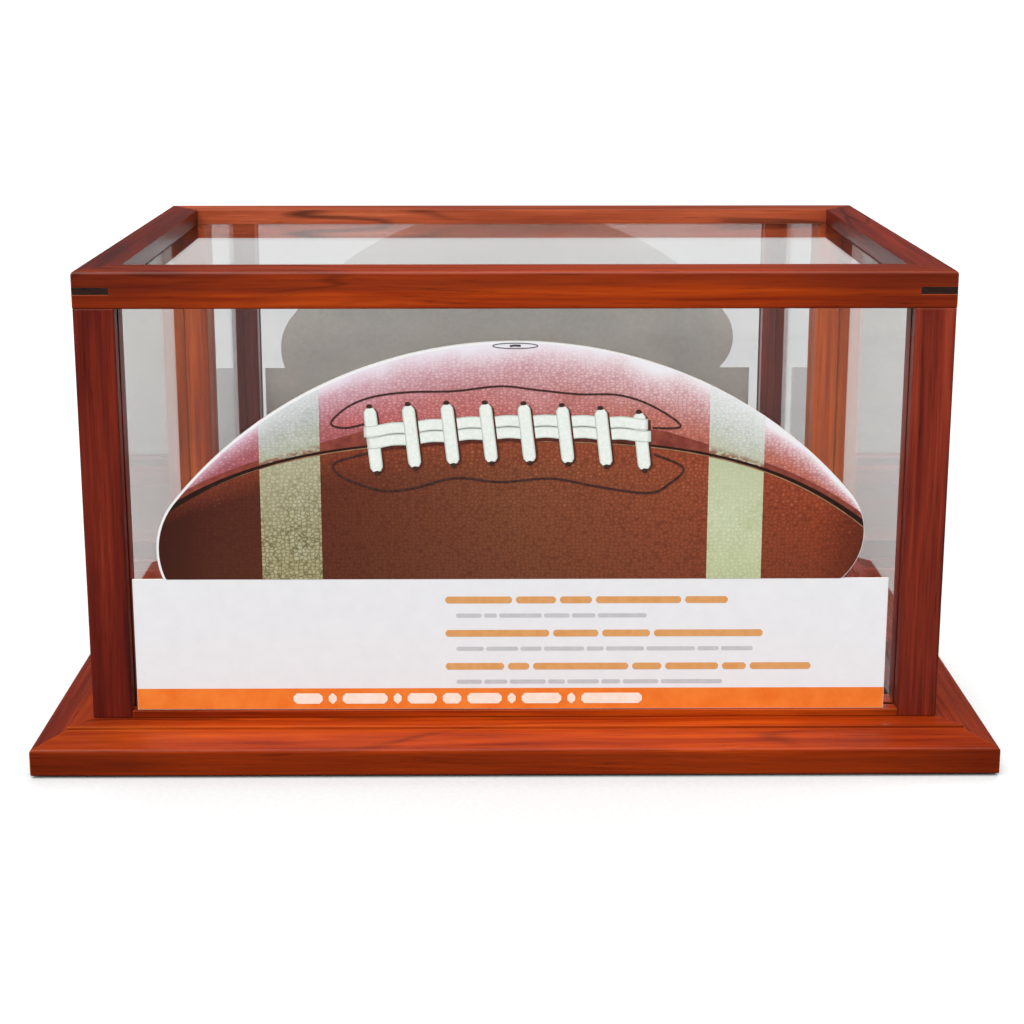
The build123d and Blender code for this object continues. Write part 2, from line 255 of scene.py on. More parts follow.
FRAME_STAIN = ((0.0, "220604"), (0.3, "440f0a"), (0.58, "641b10"), (0.82, "7f2815"), (1.0, "a03c20"))
# The right front post, the back posts and the back rail get lighter copies of the frame's stain: painted
# light.
RIGHT_POST_LIT_STAIN = ((0.0, "380e09"), (0.3, "621d11"), (0.58, "862d1b"), (0.82, "a04027"), (1.0, "be5735"))
BACK_POST_LIT_STAIN = ((0.0, "34100a"), (0.3, "6e2408"), (0.58, "96400e"), (0.82, "b05412"), (1.0, "c66a22"))
BACK_RAIL_LIT_STAIN = ((0.0, "381008"), (0.3, "6a2412"), (0.58, "8e3c20"), (0.82, "a54d2c"), (1.0, "bd653f"))
BASE_STAIN = ((0.0, "430f06"), (0.28, "761f06"), (0.58, "a03608"), (0.82, "b8480c"), (1.0, "cd6219"))
FLOOR_STAIN = ((0.0, "24100a"), (0.4, "47190f"), (0.75, "64281a"), (1.0, "7b3a26"))


def key_wood():
    """Dark slips glued into the mitres, flush and lacquered with the frame."""
    p = Paint("key_wood")
    grain = p.noise(p.mapped(p.object(), (300, 300, 1600)), 1.0, 3.0)
    colour = p.ramp(grain, ((0.3, "180b08"), (0.7, "351811")))
    normal = p.bump(grain, 0.06 * MM, 0.5)
    return p.finish(colour, p.span(grain, 0.3, 0.7, 0.32, 0.45), normal, Coat_Weight=0.25, Coat_Roughness=0.2)


def dowel_wood():
    p = Paint("dowel_wood")
    grain = p.noise(p.mapped(p.object(), (900, 900, 40)), 1.0, 3.0)
    colour = p.ramp(grain, ((0.3, "a67c4c"), (0.7, "cfab7b")))
    return p.finish(colour, p.span(grain, 0.3, 0.7, 0.6, 0.75), p.bump(grain, 0.08 * MM, 0.6))


def pane_glass(name, index):
    """Clear glass with a little dust, and the index of refraction given. Lamps shine straight
    through it."""
    p = Paint(name)
    dust = p.noise(p.object(), 38, 5.0, 0.7)
    wipe = p.noise(p.mapped(p.object(), (9, 9, 26), turn=(0.3, 0.5, 0.2)), 1.0, 3.0, 0.6, 1.2)
    film = p.math("MULTIPLY", p.span(dust, 0.45, 0.8), p.span(wipe, 0.4, 0.7))
    colour = p.mix(film, linear("fcfcfb"), linear("f0efed"))
    rough = p.span(film, 0.0, 1.0, 0.0, 0.004)
    shader = p.add(
        "ShaderNodeBsdfPrincipled",
        {"Base Color": colour, "Roughness": rough, "IOR": index, "Transmission Weight": 1.0},
    )
    path = p.add("ShaderNodeLightPath")
    clear = p.add("ShaderNodeBsdfTransparent", {"Color": linear("fafaf9")})
    both = p.add(
        "ShaderNodeMixShader",
        {0: path.outputs["Is Shadow Ray"], 1: shader.outputs[0], 2: clear.outputs[0]},
    )
    p.plug(p.out.inputs["Surface"], both.outputs[0])
    return p.mat


def mirror_glass():
    """Silvered glass: bright, a touch cool, with slight wipe marks."""
    p = Paint("mirror_glass")
    wipe = p.noise(p.mapped(p.object(), (12, 1, 40), turn=(0, 0.4, 0)), 1.0, 4.0, 0.6, 0.8)
    colour = p.mix(p.span(wipe, 0.4, 0.8), linear("f0f1f3"), linear("e6e8eb"))
    return p.finish(colour, p.span(wipe, 0.35, 0.8, 0.0, 0.0045), Metallic=1.0)


def hardboard():
    """Brown pressed board: short matted fibres and a smooth, slightly polished face."""
    p = Paint("hardboard")
    mat_fibres = p.noise(p.mapped(p.object(), (240, 900, 900), turn=(0, 0.5, 0)), 1.0, 4.0, 0.7, 0.5)
    cross = p.noise(p.mapped(p.object(), (900, 900, 260), turn=(0, 0.3, 0)), 1.0, 4.0, 0.7, 0.5)
    cloud = p.noise(p.object(), 14, 4.0, 0.6)
    tone = p.math("ADD", p.math("MULTIPLY", mat_fibres, 0.4), p.math("MULTIPLY", cross, 0.35))
    tone = p.math("ADD", tone, p.math("MULTIPLY", cloud, 0.3))
    colour = p.ramp(p.span(tone, 0.35, 0.75), ((0.0, "3b2415"), (0.5, "5d3b24"), (1.0, "7d5636")))
    return p.finish(colour, p.span(cloud, 0.3, 0.7, 0.5, 0.68), p.bump(tone, 0.12 * MM, 0.7))


def zinc():
    p = Paint("zinc")
    scratches = p.noise(p.mapped(p.object(), (200, 200, 3000)), 1.0, 3.0)
    colour = p.ramp(scratches, ((0.3, "7c7d80"), (0.7, "b4b5b8")))
    roughness = p.span(scratches, 0.3, 0.7, 0.3, 0.5)
    return p.finish(colour, roughness, p.bump(scratches, 0.02 * MM, 0.5), Metallic=1.0)


def brass():
    p = Paint("brass")
    tarnish = p.noise(p.object(), 700, 3.0)
    colour = p.ramp(tarnish, ((0.3, "8a6a2c"), (0.7, "c9a352")))
    return p.finish(colour, p.span(tarnish, 0.3, 0.7, 0.25, 0.45), Metallic=1.0)


def felt():
    p = Paint("felt")
    nap = p.noise(p.object(), 2600, 4.0, 0.7)
    colour = p.ramp(nap, ((0.3, "131112"), (0.7, "37343a")))
    return p.finish(colour, p.span(nap, 0.3, 0.7, 0.85, 1.0), p.bump(nap, 0.2 * MM, 0.8), Sheen_Weight=0.5)


def greyboard():
    """The card's back and edges: recycled grey board with flecks."""
    p = Paint("greyboard")
    pulp = p.noise(p.object(), 420, 5.0, 0.7)
    fleck = p.cells(p.object(), 700, "F1")
    cloud = p.noise(p.object(), 22, 3.0)
    tone = p.math("ADD", p.math("MULTIPLY", pulp, 0.6), p.math("MULTIPLY", cloud, 0.4))
    colour = p.ramp(p.span(tone, 0.3, 0.7), ((0.0, "c4c0ba"), (1.0, "dedad4")))
    colour = p.mix(p.span(fleck, 0.16, 0.06, 0.0, 0.5), colour, linear("565350"))
    return p.finish(colour, p.span(pulp, 0.3, 0.7, 0.8, 0.95), p.bump(tone, 0.1 * MM, 0.6))


# ---------------------------------------------------------------- CAD nodes get their materials

# The side and front panes have a lower index than plate glass, so that they reflect little.
SIDE_PANE_INDEX = 1.36
TOP_PANE_INDEX = 1.5

BASE_EDGE_HEIGHT = 10.2 * MM  # the base's vertical outer edge, which carries painted shade

# How far from the middle, along X, painted shade starts to darken the long bars and where it is darkest
RAIL_SHADED_ENDS = (70 * MM, 150 * MM)
BASE_SHADED_ENDS = (95 * MM, 180 * MM)


def dress_cad():
    frame_x = stained_wood("frame_wood_x", "x", FRAME_STAIN, 0.13)
    frame_y = stained_wood("frame_wood_y", "y", FRAME_STAIN, 0.47)
    frame_z = stained_wood("frame_wood_z", "z", FRAME_STAIN, 0.71)
    back_z = stained_wood("back_post_wood", "z", BACK_POST_LIT_STAIN, 0.18, shine=0.06, coat=0.0)
    rail_low, rail_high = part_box("top_rail_front")
    rail_middle = (rail_low.z + rail_high.z) / 2
    # painted shade: the front rail's upper half is darker
    rail_shade_band = (2, rail_middle - 0.5 * MM, rail_middle + 1.5 * MM, "5e1f14")
    front_rail = stained_wood(
        "front_rail_wood", "x", BASE_STAIN, 0.29,
        shine=0.16, band=rail_shade_band, far=RAIL_SHADED_ENDS,
    )
    # painted shade: the base's vertical outer edge is darker
    edge_shade_band = (2, BASE_EDGE_HEIGHT, BASE_EDGE_HEIGHT - 1.2 * MM, "551809")
    base_x = stained_wood(
        "base_wood_x", "x", BASE_STAIN, 0.88,
        gloss=0.26, shine=0.1, coat=0.05, band=edge_shade_band, far=BASE_SHADED_ENDS,
    )
    base_y = stained_wood("base_wood_y", "y", BASE_STAIN, 0.35, gloss=0.26, band=edge_shade_band, far=BASE_SHADED_ENDS)
    ledge = stained_wood("ledge_wood", "x", BASE_STAIN, 0.51, gloss=0.26, shine=0.1, far=BASE_SHADED_ENDS)
    floor = stained_wood("floor_wood", "x", FLOOR_STAIN, 0.62, gloss=0.4)
    glass = pane_glass("pane_glass", SIDE_PANE_INDEX)
    top_glass = pane_glass("top_pane_glass", TOP_PANE_INDEX)
    keys = key_wood()
    materials = {
        "post_front_left": frame_z,
        "post_front_right": stained_wood("right_post_wood", "z", RIGHT_POST_LIT_STAIN, 0.93),
        "post_back_left": back_z,
        "post_back_right": back_z,
        "top_rail_front": front_rail,
        "top_rail_back": stained_wood("back_rail_wood", "x", BACK_RAIL_LIT_STAIN, 0.57, shine=0.12, coat=0.05),
        "top_rail_left": frame_y,
        "top_rail_right": frame_y,
        "bottom_rail_front": ledge,
        "bottom_rail_back": frame_x,
        "bottom_rail_left": frame_y,
        "bottom_rail_right": frame_y,
        "base_front": base_x,
        "base_back": base_x,
        "base_left": base_y,
        "base_right": base_y,
        "floor_panel": floor,
        "locating_strips_across": frame_x,
        "locating_strips_lengthwise": frame_y,
        "mirror_back": mirror_glass(),
        "backing_board": hardboard(),
        "glazing_points": zinc(),
        "post_dowels": dowel_wood(),
        "floor_screws": brass(),
        "felt_pads": felt(),
        "display_card": greyboard(),
    }
    for name, node in NODES.items():
        if name.startswith("glass_"):
            material = top_glass if name == "glass_top" else glass
        elif name.startswith("corner_key_"):
            material = keys
        else:
            material = materials[name]
        for slot in node.material_slots:
            slot.material = material


# ---------------------------------------------------------------- the printed card

CARD_LOW, CARD_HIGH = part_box("display_card")
CARD_FACE = CARD_LOW.y
PANEL_TOP = CARD_LOW.z + 51.8 * MM

# The ball's outline: a long arc above, and a round at each end (how far it reaches, radius).
BALL_ARC = 163 * MM
BALL_TOP = CARD_HIGH.z
ARC_CENTRE = BALL_TOP - BALL_ARC
BALL_ENDS = {-1: (133.6 * MM, 30 * MM), 1: (130.0 * MM, 24 * MM)}


def rim(x):
    """Width of white card left outside the printed ball: it fades away towards the right."""
    share = min(max((x + 20 * MM) / (90 * MM), 0.0), 1.0)
    return (0.95 - 0.7 * share) * MM


def ball_end(x):
    """Centre (x, z) and radius of the round at the end of the ball that x is nearer to."""
    side = 1 if x > 0 else -1
    reach, tip = BALL_ENDS[side]
    rise = math.sqrt((BALL_ARC - tip) ** 2 - (reach - tip) ** 2)
    return side * (reach - tip), ARC_CENTRE + rise, tip


def ball_top(x, inset=0.0):
    """Height of the ball's upper outline at x, drawn in by a margin."""
    centre_x, centre_z, tip = ball_end(x)
    meet = abs(centre_x) * (BALL_ARC - inset) / (BALL_ARC - tip)
    if abs(x) <= meet:
        return ARC_CENTRE + math.sqrt((BALL_ARC - inset) ** 2 - x * x)
    return centre_z + math.sqrt(max((tip - inset) ** 2 - (x - centre_x) ** 2, 0.0))


def ball_low(x, inset=0.0):
    """Height of the lower edge of the printed ball at x: the panel hides the rest."""
    centre_x, centre_z, tip = ball_end(x)
    past = abs(x) - abs(centre_x)
    if past <= 0:
        return PANEL_TOP
    return max(centre_z - math.sqrt(max((tip - inset) ** 2 - past**2, 0.0)), PANEL_TOP)


def ball_columns(left_inset, right_inset, count=160):
    """Places across the whole ball, closer together at its ends."""
    return spread(-BALL_ENDS[-1][0] + left_inset, BALL_ENDS[1][0] - right_inset, count, ends=True)


def seam(x):
    """Height of the seam across the ball."""
    s = x / MM
    return BALL_TOP - (36.8 + 0.000716 * s**2 + 1.2e-6 * s**3 + 6.0e-8 * s**4) * MM


def on_ball(low, high, left=None, right=None):
    """Columns between two heights, each a function of x, kept inside the printed ball."""
    if left is None:
        xs = ball_columns(rim(-1), rim(1))
    else:
        xs = spread(left, right, 30)
    columns = []
    for x in xs:
        top, bottom = ball_top(x, rim(x)), ball_low(x, rim(x))
        columns.append((x, min(max(low(x), bottom), top), max(min(high(x), top), bottom)))
    return columns


# Printed shapes lie in front of the card's face, each a number of layers out, nearest last.
LAYER = 0.04 * MM
PRINT_ROWS = 12


def on_card(name, verts, faces, material, uv_of):
    """A flat printed mesh on the card. uv_of gives the UV of a mesh vertex."""
    mesh = bpy.data.meshes.new(name)
    mesh.from_pydata(verts, [], faces)
    uvs = [uv_of(v) for v in mesh.vertices]
    uv_layer = mesh.uv_layers.new(name="UVMap")
    for loop in mesh.loops:
        uv_layer.data[loop.index].uv = uvs[loop.vertex_index]
    mesh.materials.append(material)
    piece = bpy.data.objects.new(name, mesh)
    bpy.context.scene.collection.objects.link(piece)
    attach(piece, "display_card")


def flat(x, z):
    """UV that is the place on the card itself."""
    return (x, z)


def printed(name, columns, layer, material, uv=flat):
    """A thin printed shape, from (x, low, high) columns, lying on the card's face."""
    y = CARD_FACE - layer * LAYER
    verts, faces = [], []
    for x, low, high in columns:
        for r in range(PRINT_ROWS + 1):
            verts.append((x, y, low + (high - low) * r / PRINT_ROWS))
    for c in range(len(columns) - 1):
        for r in range(PRINT_ROWS):
            a = c * (PRINT_ROWS + 1) + r
            b = a + PRINT_ROWS + 1
            faces.append((a, b, b + 1, a + 1))
    on_card(name, verts, faces, material, lambda v: uv(v.co.x, v.co.z))


def spread(low, high, count, ends=False):
    """Evenly spaced values, or values that crowd towards both ends."""
    if ends:
        return [low + (high - low) * (1 - math.cos(math.pi * i / count)) / 2 for i in range(count + 1)]
    return [low + (high - low) * i / count for i in range(count + 1)]


def fade(x, z):
    """UV that runs from 0 at the ball's top edge to 1 at its seam."""
    top, line = ball_top(x), seam(x)
    return (x, (top - z) / max(top - line, 1e-4))


def sink(x, z):
    """UV that runs from 0 at the seam to 1 at the panel."""
    line = seam(x)
    return (x, (line - z) / max(line - PANEL_TOP, 1e-4))


def flat_xz(p, scale):
    """Texture place on the card's face, in cells per metre."""
    return p.mapped(p.object(), (scale, 0.0, scale))


PEBBLE = 640.0  # pebbles of leather per metre
UPPER_FLATTEN = 1.55
LOWER_FLATTEN = 1.15


def pebbles(p, flatten):
    """Pebbled leather on the card's face: how far a place is from the crack between pebbles.

    flatten is how much lower than wide the pebbles look, where the leather curves away.
    """
    wobble = p.noise(flat_xz(p, 160), 1.0, 2.0)
    place = p.mapped(p.object(), (PEBBLE, 0.0, PEBBLE * flatten))
    place = p.add("ShaderNodeVectorMath", {0: place}, operation="ADD")
    p.plug(place.inputs[1], p.add("ShaderNodeCombineXYZ", {"X": wobble, "Z": wobble}).outputs[0])
    return p.cells(place.outputs[0], 1.0, randomness=0.6)


def leather_print(p, colour, pebble):
    shine = p.span(pebble, 0.0, 0.4, 0.44, 0.34)
    return p.finish(colour, shine, p.bump(pebble, 0.05 * MM, 0.25), Coat_Weight=0.15, Specular_IOR_Level=0.3)


def ball_upper_paint(name, skin_code, crack_code, washed):
    """The lit upper side: pale at the top edge, rose at the seam, with fine pebbles.

    washed is how far down the pale light reaches, from 0 at the top edge to 1 at the seam.
    """
    p = Paint(name)
    x = p.axis(p.object(), 0)
    down = p.math("ADD", p.axis(p.uv(), 1), p.span(p.noise(p.object(), 45, 3.0), 0.3, 0.7, -0.07, 0.07))
    down = p.math("SUBTRACT", down, p.span(x, 70 * MM, 125 * MM, 0.0, 0.12))
    pale = p.span(down, 0.04, washed, 1.0, 0.0, smooth=True)
    cool = p.span(x, -110 * MM, 60 * MM)
    rose = p.mix(cool, linear(skin_code), linear("c87463"))
    tint = p.mix(cool, linear("d9b6c5"), linear("e8d2d6"))
    light = p.mix(p.span(down, 0.02, 0.26), p.mix(cool, linear("ece4f0"), linear("f1eff2")), tint)
    skin = p.mix(pale, rose, light)
    crack_tone = p.mix(cool, linear(crack_code), linear("a05c4e"))
    crack_tone = p.mix(pale, crack_tone, linear("cf9aa8"))
    pebble = pebbles(p, UPPER_FLATTEN)
    crack = p.math(
        "MULTIPLY",
        p.span(pebble, 0.0, 0.2, 1.0, 0.0, smooth=True),
        p.span(down, 0.05, 0.32, 0.0, 0.85),
    )
    colour = p.mix(crack, skin, crack_tone)
    glow = p.math("MULTIPLY", p.span(pebble, 0.2, 0.5), p.span(down, 0.1, 1.0, 0.35, 0.1))
    return leather_print(p, p.mix(glow, colour, linear("f4e2e8")), pebble)


def ball_lower_paint():
    """The shaded lower side: brown leather, redder to the right, with small highlights."""
    p = Paint("ball_lower_print")
    x = p.axis(p.object(), 0)
    down = p.axis(p.uv(), 1)
    across = p.span(x, -125 * MM, 125 * MM)
    skin = p.ramp(
        across,
        ((0.0, "4a2017"), (0.25, "6a3422"), (0.5, "864c31"), (0.75, "994d31"), (1.0, "973f23")),
    )
    skin = p.mix(p.span(down, 0.2, 1.0, 0.0, 0.4), skin, linear("5a311e"))
    skin = p.mix(p.span(down, 0.25, 0.0, 0.0, 0.5), skin, linear("a84c30"))
    ends = p.span(p.math("ABSOLUTE", x), 112 * MM, 131 * MM)
    skin = p.mix(p.math("MULTIPLY", ends, 0.7), skin, linear("3a1811"))
    pebble = pebbles(p, LOWER_FLATTEN)
    crack = p.span(pebble, 0.0, 0.16, 1.0, 0.0, smooth=True)
    colour = p.mix(p.math("MULTIPLY", crack, 0.45), skin, linear("48190f"))
    lit = p.math("MULTIPLY", p.span(down, 0.7, 0.0, 0.0, 0.6), p.span(across, 0.25, 0.7, 0.25, 1.0))
    glint = p.math("MULTIPLY", p.span(pebble, 0.26, 0.44), lit)
    glint = p.math("MULTIPLY", glint, p.span(p.noise(p.object(), 90, 3.0), 0.4, 0.65))
    return leather_print(p, p.mix(glint, colour, linear("dc9266")), pebble)


def stripe_paint(name, stops, crack_code, crack_share, blotch_code, flatten=LOWER_FLATTEN, rubbed=False):
    """Painted stripe over the leather: chalky, with the pebble's cracks showing through.

    Where rubbed, the leather's brown comes through the paint along the seam.
    """
    p = Paint(name)
    down = p.axis(p.uv(), 1)
    skin = p.ramp(down, stops)
    pebble = pebbles(p, flatten)
    patchy = p.noise(p.object(), 70, 4.0, 0.6)
    skin = p.mix(p.span(patchy, 0.52, 0.72, 0.0, 0.55), skin, linear(blotch_code))
    crack = p.span(pebble, 0.01, 0.17, 1.0, 0.0, smooth=True)
    worn = p.math("MULTIPLY", p.span(patchy, 0.3, 0.5, 0.45, 1.0), p.span(down, 0.0, 0.6, 0.35, 1.0))
    colour = p.mix(p.math("MULTIPLY", p.math("MULTIPLY", crack, crack_share), worn), skin, linear(crack_code))
    chalk = p.math("MULTIPLY", p.span(pebble, 0.25, 0.5), 0.25)
    colour = p.mix(chalk, colour, linear("f0f0e6"))
    if rubbed:
        spots = p.noise(p.mapped(p.object(), (420, 1, 760)), 1.0, 3.0, 0.6)
        near = p.math(
            "MULTIPLY",
            p.span(down, 0.86, 0.97, smooth=True),
            p.span(spots, 0.38, 0.56, smooth=True),
        )
        colour = p.mix(p.math("MULTIPLY", near, 0.85), colour, linear("8a4a34"))
    return leather_print(p, colour, pebble)


def inked(name, code, lighter, scale=300.0):
    """Printed ink with a slight mottle."""
    p = Paint(name)
    mottle = p.noise(p.object(), scale, 4.0, 0.65)
    colour = p.ramp(mottle, ((0.3, code), (0.75, lighter)))
    return p.finish(colour, p.span(mottle, 0.3, 0.7, 0.3, 0.42), Coat_Weight=0.25, Coat_Roughness=0.2)


def lace_paint():
    """Flat leather lace: pale, with a fine grain and shaded edges."""
    p = Paint("lace_print")
    u = p.axis(p.uv(), 0)
    v = p.axis(p.uv(), 1)
    grain = p.noise(p.object(), 900, 4.0, 0.7)
    colour = p.ramp(grain, ((0.25, "e2ebe2"), (0.7, "f8fcf6")))
    edge = p.math("ABSOLUTE", p.math("SUBTRACT", v, 0.5))
    colour = p.mix(p.span(edge, 0.34, 0.5, 0.0, 0.65, smooth=True), colour, linear("98a698"))
    tail = p.math("ABSOLUTE", p.math("SUBTRACT", u, 0.5))
    colour = p.mix(p.span(tail, 0.485, 0.5, 0.0, 0.5, smooth=True), colour, linear("8a8e7c"))
    return p.finish(colour, p.span(grain, 0.3, 0.7, 0.35, 0.45), Coat_Weight=0.2)


def ribbon(name, line, width, layer, material, closed=False):
    """A flat printed ribbon along a line of (x, z) points. UV runs along it, then across it."""
    count = len(line)
    y = CARD_FACE - layer * LAYER
    verts, faces, uvs = [], [], []
    for i, (x, z) in enumerate(line):
        before = line[i - 1] if i or closed else line[i]
        after = line[(i + 1) % count] if i + 1 < count or closed else line[i]
        along = Vector((after[0] - before[0], after[1] - before[1])).normalized()
        half = (width(i / (count - 1)) if callable(width) else width) / 2
        side = Vector((-along.y, along.x)) * half
        for k in (-1, 0, 1):
            verts.append((x + side.x * k, y, z + side.y * k))
            uvs.append((i / (count - 1), 0.5 + 0.5 * k))
    steps = count if closed else count - 1
    for i in range(steps):
        for k in (0, 1):
            a = i * 3 + k
            b = ((i + 1) % count) * 3 + k
            faces.append((a, b, b + 1, a + 1))
    on_card(name, verts, faces, material, lambda v: uvs[v.index])


def between(a, b, c, d, t):
    """One coordinate of a smooth line from b to c, at t from 0 to 1, with a and d outside."""
    slope = (c - a) * t
    bend = (2 * a - 5 * b + 4 * c - d) * t * t
    twist = (3 * b - a - 3 * c + d) * t**3
    return 0.5 * (2 * b + slope + bend + twist)


def smooth_line(points, per_span=10, closed=False):
    """Catmull-Rom line through a few points given in millimetres."""
    n = len(points)
    spans = n if closed else n - 1
    line = []
    for i in range(spans):
        picks = [points[(i + k) % n] if closed else points[min(max(i + k, 0), n - 1)] for k in (-1, 0, 1, 2)]
        for step in range(per_span):
            t = step / per_span
            line.append(tuple(between(a, b, c, d, t) * MM for a, b, c, d in zip(*picks)))
    if not closed:
        line.append((points[-1][0] * MM, points[-1][1] * MM))
    return line


# Edges of the two painted stripes, in millimetres from the middle of the ball
STRIPES = {"left": (-94.3, -71.9), "right": (71.4, 91.8)}

# The stitched outlines above and below the laces (x, z) in millimetres
UPPER_STITCH = [
    (-55.5, 130.0), (-62.5, 128.6), (-67.6, 130.4), (-61.5, 136.4), (-52.4, 140.2),
    (-39.4, 142.0), (-22.4, 142.4), (-5.4, 144.2), (7.8, 142.8), (22.8, 141.2),
    (37.9, 140.8), (50.4, 136.6), (60.8, 129.1), (50.5, 128.4),
]
LOWER_STITCH = [
    (-53.5, 119.2), (-66.5, 115.2), (-63.9, 110.0), (-50.0, 104.8), (-37.5, 105.6),
    (-22.4, 109.4), (-5.4, 107.9), (13.4, 109.2), (32.3, 105.7), (49.3, 103.6),
    (56.8, 107.0), (62.0, 113.2), (51.1, 118.4),
]

LACES = 8
LACE_FIRST = -52.2 * MM       # middle of the first cross lace
LACE_STEP = 14.1 * MM
LACE_WIDTH = 4.8 * MM
LACE_SLANT = 2.5 * MM         # how far a cross lace leans from its foot to its head
STRAND_WIDTH = 4.3 * MM
STRAND_BEND = 0.00093 / MM    # how strongly the long strands curve down towards their ends
STRAND_DIP = 0.25 * MM


def patch(name, line, layer, material, uv=flat):
    """A flat printed shape inside a closed line of (x, z) points."""
    y = CARD_FACE - layer * LAYER
    verts = [(x, y, z) for x, z in line]
    on_card(name, verts, [tuple(range(len(line)))], material, lambda v: uv(v.co.x, v.co.z))


def oval(x, z, half_width, half_height, count):
    """A closed line of (x, z) points around a centre."""
    turns = spread(0, 2 * math.pi, count)[:-1]
    return [(x + half_width * math.cos(a), z + half_height * math.sin(a)) for a in turns]


def build_ball():
    upper = ball_upper_paint("ball_upper_print", "b3626a", "94505a", 0.76)
    printed("card_ball_upper", on_ball(seam, lambda x: BALL_TOP), 2, upper, fade)
    printed("card_ball_lower", on_ball(lambda x: PANEL_TOP, seam), 2, ball_lower_paint(), sink)

    dusty = stripe_paint(
        "stripe_upper_left_print",
        ((0.0, "e4e6e8"), (0.4, "c4c8c5"), (1.0, "b3b596")),
        "96958a", 0.45, "d2d5d3",
        flatten=UPPER_FLATTEN, rubbed=True,
    )
    pale = stripe_paint(
        "stripe_upper_right_print",
        ((0.0, "eceeef"), (0.5, "d4d9d2"), (1.0, "bcbf9f")),
        "a09f94", 0.4, "dfe2e0",
        flatten=UPPER_FLATTEN, rubbed=True,
    )
    dull = stripe_paint(
        "stripe_left_print",
        ((0.0, "b9b596"), (0.4, "aea886"), (1.0, "a8a077")),
        "5a5230", 0.75, "c6c5ae",
    )
    green = stripe_paint(
        "stripe_right_print",
        ((0.0, "bfc4a0"), (0.5, "ccd3b0"), (1.0, "c0c89c")),
        "98a070", 0.35, "a9b27c",
    )
    paints = {"left": (dusty, dull), "right": (pale, green)}
    for side, (low, high) in STRIPES.items():
        above = on_ball(seam, lambda x: BALL_TOP, low * MM, high * MM)
        below = on_ball(lambda x: PANEL_TOP, seam, low * MM, high * MM)
        upper_paint, lower_paint = paints[side]
        printed(f"card_stripe_upper_{side}", above, 4.5, upper_paint, fade)
        printed(f"card_stripe_lower_{side}", below, 3, lower_paint, sink)

    # The seam: a rolled edge above, a dark gap that widens towards the ends, a lit edge below.
    def roll(x):
        near_laces = max(1 - max(abs(x) - 55 * MM, 0.0) / (40 * MM), 0.0)
        return (2.3 + 3.6 * near_laces**2) * MM

    def gap(x):
        return (0.55 + 1.7 * (abs(x) / (130 * MM)) ** 4) * MM

    def glint(x):
        """Width of the lit edge, which fades away at the left."""
        return 0.5 * MM * min(max((x + 118 * MM) / (40 * MM), 0.0), 1.0)

    rolled = inked("seam_roll_print", "74302a", "9c4c3a", 240)
    dark = inked("seam_gap_print", "1b0d09", "35180f")
    lit = inked("seam_light_print", "8a5f40", "b98c66", 240)
    printed("card_seam_roll", on_ball(seam, lambda x: seam(x) + roll(x)), 4, rolled)
    printed("card_seam_light", on_ball(lambda x: seam(x) - gap(x) - glint(x), seam), 4, lit)
    printed("card_seam_gap", on_ball(lambda x: seam(x) - gap(x), lambda x: seam(x) + 0.2 * MM), 5, dark)


def build_valve():
    """A plain thin oval with a short dark slit, just below the ball's top edge."""
    dark = inked("valve_print", "2c2a2c", "5a575a", 900)
    centre_z = BALL_TOP - 1.75 * MM
    outline = oval(0.0, centre_z, 8.2 * MM, 1.0 * MM, 40)
    ribbon("card_valve_oval", outline, 0.3 * MM, 4, dark, closed=True)
    slit = [(-2.0 * MM, centre_z - 0.1 * MM), (0.0, centre_z + 0.15 * MM), (2.0 * MM, centre_z)]
    ribbon("card_valve_slit", slit, 0.75 * MM, 4, dark)


